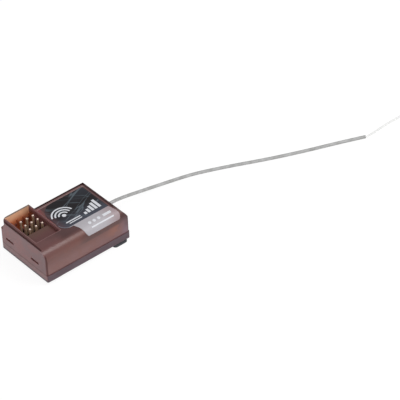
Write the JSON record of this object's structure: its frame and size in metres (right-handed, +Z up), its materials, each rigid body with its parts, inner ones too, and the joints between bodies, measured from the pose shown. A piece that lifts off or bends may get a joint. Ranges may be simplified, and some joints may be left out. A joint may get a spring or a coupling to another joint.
{
  "type": "radio control receiver",
  "caption": "Small box-shaped radio receiver: smoked plastic housing, open pocket of servo pins at one end and a thin wire antenna out of the other.",
  "frame": {"origin": "middle of the housing's plan, on the surface that the part's foam tape stands on", "axes": "+X towards the antenna end, +Y towards the back, where the pin pocket stands out, +Z up"},
  "size_m": [0.164, 0.0407, 0.0136],
  "materials": {
    "smoked_shell": "translucent smoked red-brown, satin gloss",
    "smoked_tray": "dark smoked plastic, satin",
    "circuit_board": "green solder mask",
    "gold_pins": "thin gold plating",
    "header_plastic": "black moulded",
    "solder": "bright solder",
    "tinned_steel": "tinned sheet",
    "chip_plastic": "black package",
    "aluminium_can": "plain",
    "ferrite": "dark sintered",
    "ceramic": "tan",
    "resistor_ceramic": "black top",
    "lamp_lens": "clear red lens",
    "grommet_rubber": "soft black",
    "cable_jacket": "grey fluoropolymer jacket",
    "cable_core": "near-white inner insulation",
    "label_film": "printed film, satin",
    "foam_tape": "matt closed-cell foam"
  },
  "bodies": {
    "root": {"upper_shell": "smoked_shell", "base_tray": "smoked_tray", "circuit_board": "circuit_board", "negative_pins": "gold_pins", "positive_pins": "gold_pins", "signal_pins": "gold_pins", "channel_header_1": "header_plastic", "channel_header_2": "header_plastic", "channel_header_3": "header_plastic", "pin_solder": "solder", "radio_shield": "tinned_steel", "radio_chip": "chip_plastic", "processor": "chip_plastic", "capacitor_base": "header_plastic", "capacitor_can": "aluminium_can", "voltage_regulator": "chip_plastic", "filter_coil": "ferrite", "crystal": "tinned_steel", "ceramic_capacitors": "ceramic", "resistors": "resistor_ceramic", "status_lamp": "lamp_lens", "antenna_clip": "tinned_steel", "antenna_grommet": "grommet_rubber", "antenna_inner_lead": "cable_jacket", "antenna_cable": "cable_jacket", "antenna_bare_end": "cable_core", "top_label": "label_film", "foam_tape_antenna_end": "foam_tape", "foam_tape_pin_end": "foam_tape"}
  },
  "joints": []
}
